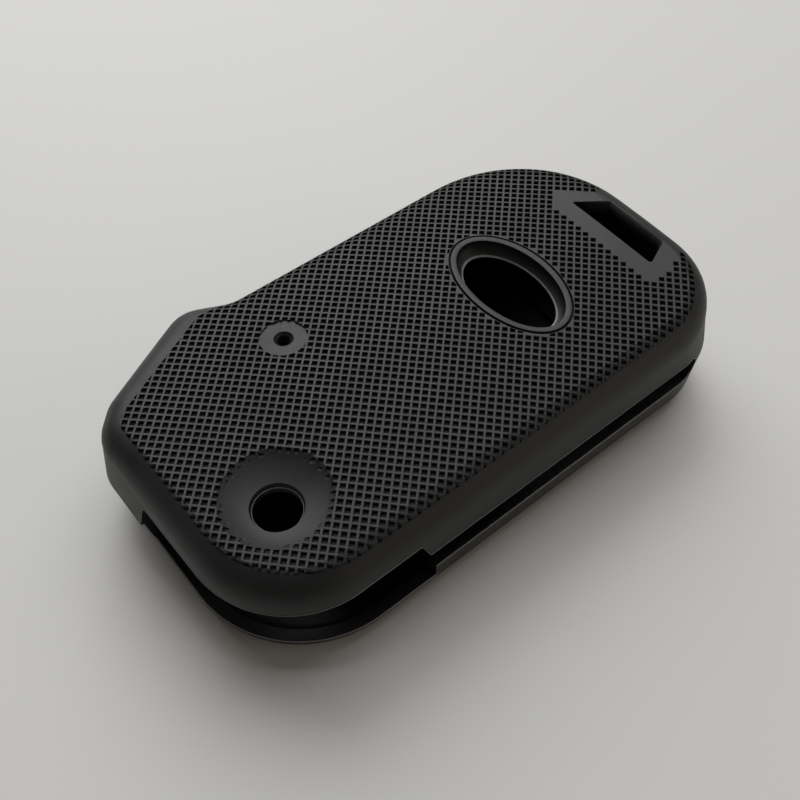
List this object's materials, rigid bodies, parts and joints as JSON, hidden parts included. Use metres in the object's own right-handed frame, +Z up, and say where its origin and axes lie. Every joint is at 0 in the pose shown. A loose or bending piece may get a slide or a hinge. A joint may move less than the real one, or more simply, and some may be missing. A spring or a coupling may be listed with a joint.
{
  "type": "key fob cover",
  "caption": "Soft silicone cover for a flip key: hollow shell open along one side for the blade, lattice-textured back with pivot hole and oval window, press pads on the front.",
  "frame": {"origin": "middle of the cover's box, on the flat front (button) face that it lies on", "axes": "+X along the cover to the keyring end, +Y to the closed long side, +Z up through the textured back"},
  "size_m": [0.0794, 0.0469, 0.0188],
  "materials": {
    "silicone_lattice": "matte moulded silicone with a fine square lattice",
    "silicone_smooth": "matte moulded silicone",
    "silicone_pad": "matte moulded silicone, slightly polished by use"
  },
  "bodies": {
    "cover": {"front_shell": "silicone_smooth", "back_shell": "silicone_lattice", "release_collar": "silicone_smooth", "screw_pad": "silicone_smooth", "badge_ring": "silicone_smooth", "keyring_frame": "silicone_smooth", "lock_button_web": "silicone_pad", "unlock_button_web": "silicone_pad", "boot_button_web": "silicone_pad"},
    "flap": {"back_flap": "silicone_lattice", "pivot_collar": "silicone_smooth"},
    "lock_button": {"lock_button": "silicone_pad"},
    "unlock_button": {"unlock_button": "silicone_pad"},
    "boot_button": {"boot_button": "silicone_pad"}
  },
  "joints": [
    {"name": "flap_fold", "type": "hinge", "parent": "cover", "child": "flap", "pos_m": [-0.0041, -0.01068, 0.0186], "axis": [-0.94, 0.341, 0], "range_deg": [0, 60], "stiffness_Nm_per_rad": 0.05},
    {"name": "lock_press", "type": "slide", "parent": "cover", "child": "lock_button", "axis": [0, 0, 1], "range_m": [0, 0.0008], "stiffness_N_per_m": 2200, "deforming": ["lock_button_web"]},
    {"name": "unlock_press", "type": "slide", "parent": "cover", "child": "unlock_button", "axis": [0, 0, 1], "range_m": [0, 0.0008], "stiffness_N_per_m": 2200, "deforming": ["unlock_button_web"]},
    {"name": "boot_press", "type": "slide", "parent": "cover", "child": "boot_button", "axis": [0, 0, 1], "range_m": [0, 0.0008], "stiffness_N_per_m": 2200, "deforming": ["boot_button_web"]}
  ]
}
